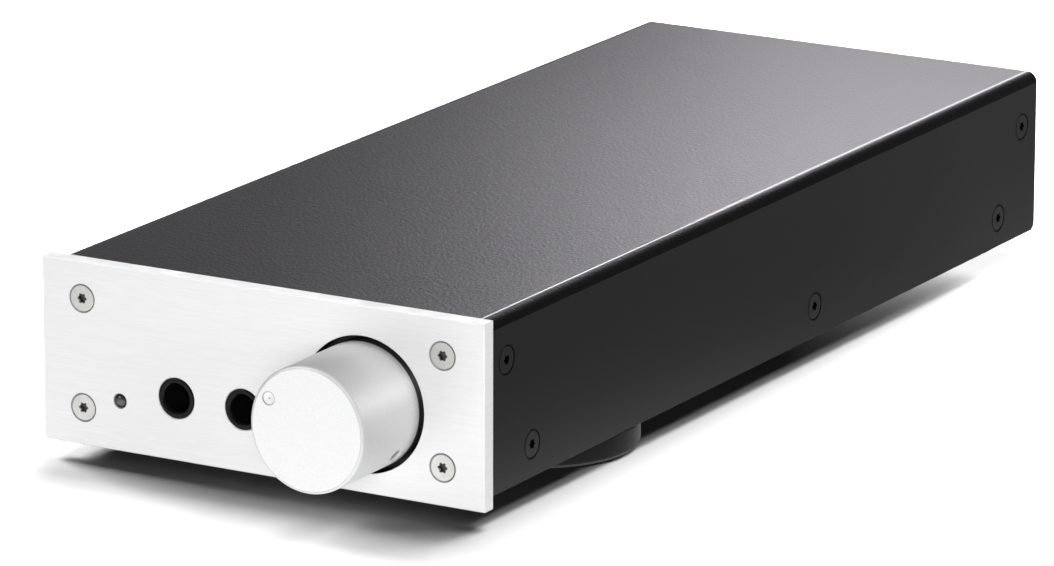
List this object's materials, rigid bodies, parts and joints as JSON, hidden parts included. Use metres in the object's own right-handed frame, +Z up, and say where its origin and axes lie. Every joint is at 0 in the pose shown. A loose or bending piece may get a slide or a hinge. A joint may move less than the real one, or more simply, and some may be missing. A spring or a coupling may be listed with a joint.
{
  "type": "headphone amplifier",
  "caption": "Slim desktop headphone amplifier: brushed metal front with volume knob, headphone sockets and lamp, black folded cover, disc feet, mains inlet and signal sockets behind.",
  "frame": {"origin": "centre of the footprint at the level of the foot pads", "axes": "+X to the right as seen from the front, +Y from front to back, +Z up"},
  "size_m": [0.11, 0.293, 0.045],
  "materials": {
    "panel_aluminium": "silver anodised, fine horizontal brushing",
    "knob_aluminium": "satin bead-blasted and anodised",
    "case_black": "fine-textured black powder coat",
    "inner_steel": "zinc plated sheet",
    "screw_silver": "nickel plated",
    "screw_black": "black oxide",
    "foot_black": "moulded, matt",
    "pad_rubber": "matt",
    "socket_plastic": "moulded",
    "lamp_lens": "smoked clear resin",
    "contact_metal": "nickel and gold plated",
    "white_insulator": "moulded",
    "board_green": "glass epoxy with solder mask",
    "component_black": "moulded",
    "capacitor_sleeve": "heat-shrunk sleeve",
    "film_red": "moulded",
    "heatsink_black": "black anodised",
    "winding_tape": "polyester tape wrap",
    "wire_insulation": "flexible insulation",
    "earth_insulation": "flexible insulation",
    "fuse_glass": "clear, metal caps"
  },
  "bodies": {
    "case": {"front_panel": "panel_aluminium", "front_panel_screws": "screw_silver", "front_subpanel": "case_black", "bottom_tray": "case_black", "top_cover": "case_black", "rear_panel": "case_black", "cover_side_screws": "screw_black", "clinch_nuts": "inner_steel", "rear_screws": "screw_black", "foot_front_left": "foot_black", "foot_front_right": "foot_black", "foot_rear": "foot_black", "foot_pads": "pad_rubber", "foot_screws": "screw_black", "main_board": "board_green", "input_board": "board_green", "board_spacers": "screw_silver", "board_screws": "screw_silver", "reservoir_capacitors": "capacitor_sleeve", "film_capacitors": "film_red", "rectifier": "component_black", "op_amps": "component_black", "output_relay": "component_black", "heat_sink": "heatsink_black", "output_transistors": "component_black", "transistor_screws": "screw_silver", "transformer": "winding_tape", "transformer_pads": "pad_rubber", "transformer_clamp": "inner_steel", "transformer_bolt": "screw_black", "transformer_nut": "inner_steel", "potentiometer_body": "component_black", "potentiometer_nut": "inner_steel", "headphone_socket_left": "socket_plastic", "headphone_socket_right": "socket_plastic", "indicator_lamp": "lamp_lens", "lamp_leads": "inner_steel", "rca_shells": "contact_metal", "rca_insulators": "white_insulator", "rca_contacts": "contact_metal", "rca_nuts": "inner_steel", "mains_inlet": "socket_plastic", "inlet_pins": "screw_silver", "gain_switch": "film_red", "mains_wires": "wire_insulation", "secondary_wires": "wire_insulation", "signal_cable": "component_black", "input_wires": "wire_insulation", "earth_lead": "earth_insulation", "earth_screw": "screw_silver"},
    "knob": {"volume_knob": "knob_aluminium", "knob_set_screw": "screw_black", "potentiometer_shaft": "inner_steel", "potentiometer_wiper": "contact_metal"},
    "left_socket_springs": {"socket_springs_left": "contact_metal"},
    "right_socket_springs": {"socket_springs_right": "contact_metal"},
    "fuse_carrier": {"fuse_drawer": "socket_plastic", "fuse": "fuse_glass"},
    "gain_lever_one": {"gain_lever_1": "white_insulator"},
    "gain_lever_two": {"gain_lever_2": "white_insulator"}
  },
  "joints": [
    {"name": "volume_turn", "type": "hinge", "parent": "case", "child": "knob", "pos_m": [0.02539, -0.124, 0.02332], "axis": [0, 1, 0], "range_deg": [-91.5, 208.5]},
    {"name": "left_spring_flex", "type": "hinge", "parent": "case", "child": "left_socket_springs", "pos_m": [-0.01526, -0.0914, 0.01783], "axis": [0, 0, 1], "range_deg": [0, 3]},
    {"name": "right_spring_flex", "type": "hinge", "parent": "case", "child": "right_socket_springs", "pos_m": [0.00149, -0.0914, 0.01783], "axis": [0, 0, 1], "range_deg": [0, 3]},
    {"name": "fuse_drawer_slide", "type": "slide", "parent": "case", "child": "fuse_carrier", "axis": [0, 1, 0], "range_m": [0, 0.02]},
    {"name": "gain_one_slide", "type": "slide", "parent": "case", "child": "gain_lever_one", "axis": [0, 0, 1], "range_m": [0, 0.0012]},
    {"name": "gain_two_slide", "type": "slide", "parent": "case", "child": "gain_lever_two", "axis": [0, 0, 1], "range_m": [0, 0.0012]}
  ]
}
